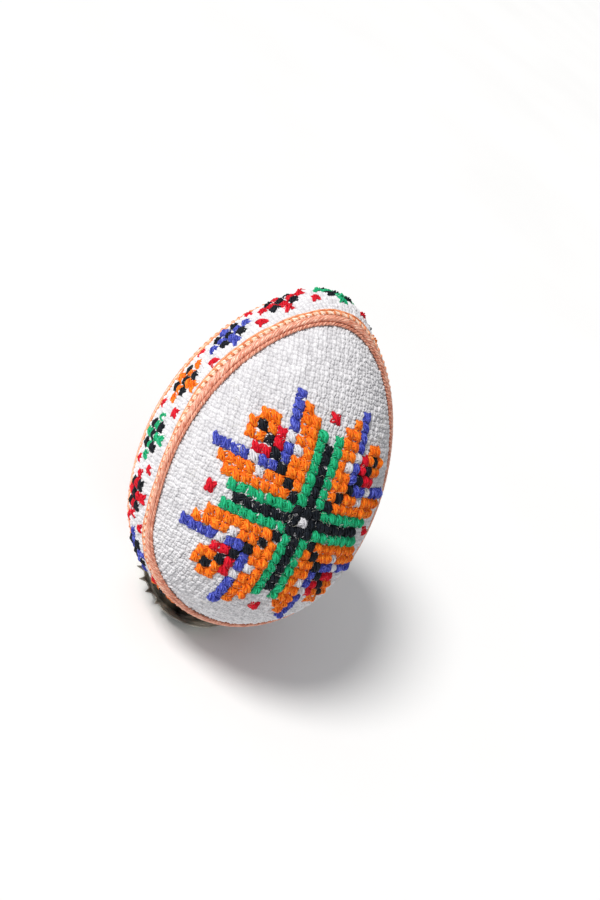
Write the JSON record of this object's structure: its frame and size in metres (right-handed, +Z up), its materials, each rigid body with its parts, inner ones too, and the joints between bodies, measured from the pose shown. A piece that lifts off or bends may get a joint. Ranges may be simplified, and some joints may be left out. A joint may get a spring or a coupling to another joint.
{
  "type": "embroidered easter egg",
  "caption": "Decorative egg covered in cross-stitched evenweave fabric with satin braid trims, leaning in a small toothed metal stand.",
  "frame": {"origin": "centre of the underside of the stand, on the surface it rests on", "axes": "+Z up; the embroidered front panel faces -Y and up, and the egg's tip leans towards +Y; +X is to the right seen from the front"},
  "size_m": [0.0612, 0.0657, 0.0874],
  "materials": {
    "foam": "matte expanded polystyrene",
    "evenweave": "matte white evenweave cotton",
    "satin_braid": "satin salmon rayon braid",
    "satin_cord": "satin salmon rayon cord",
    "black_thread": "stranded cotton, slight sheen",
    "green_thread": "stranded cotton, slight sheen",
    "orange_thread": "stranded cotton, slight sheen",
    "red_thread": "stranded cotton, slight sheen",
    "blue_thread": "stranded cotton, slight sheen",
    "white_thread": "stranded cotton, slight sheen",
    "dark_metal": "dark tarnished, semi-gloss"
  },
  "bodies": {
    "stand": {"stand": "dark_metal"},
    "egg": {"foam_core": "foam", "front_panel": "evenweave", "back_panel": "evenweave", "edge_band": "evenweave", "front_braid": "satin_braid", "back_braid": "satin_braid", "front_cord": "satin_cord", "back_cord": "satin_cord", "front_black_stitches": "black_thread", "front_green_stitches": "green_thread", "front_orange_stitches": "orange_thread", "front_red_stitches": "red_thread", "front_blue_stitches": "blue_thread", "front_white_stitches": "white_thread", "back_black_stitches": "black_thread", "back_green_stitches": "green_thread", "back_orange_stitches": "orange_thread", "back_red_stitches": "red_thread", "back_blue_stitches": "blue_thread", "back_white_stitches": "white_thread", "band_black_stitches": "black_thread", "band_green_stitches": "green_thread", "band_orange_stitches": "orange_thread", "band_red_stitches": "red_thread", "band_blue_stitches": "blue_thread"}
  },
  "joints": [
    {"name": "egg_lift", "type": "slide", "parent": "stand", "child": "egg", "axis": [0, 0, 1], "range_m": [0, 0.04]}
  ]
}
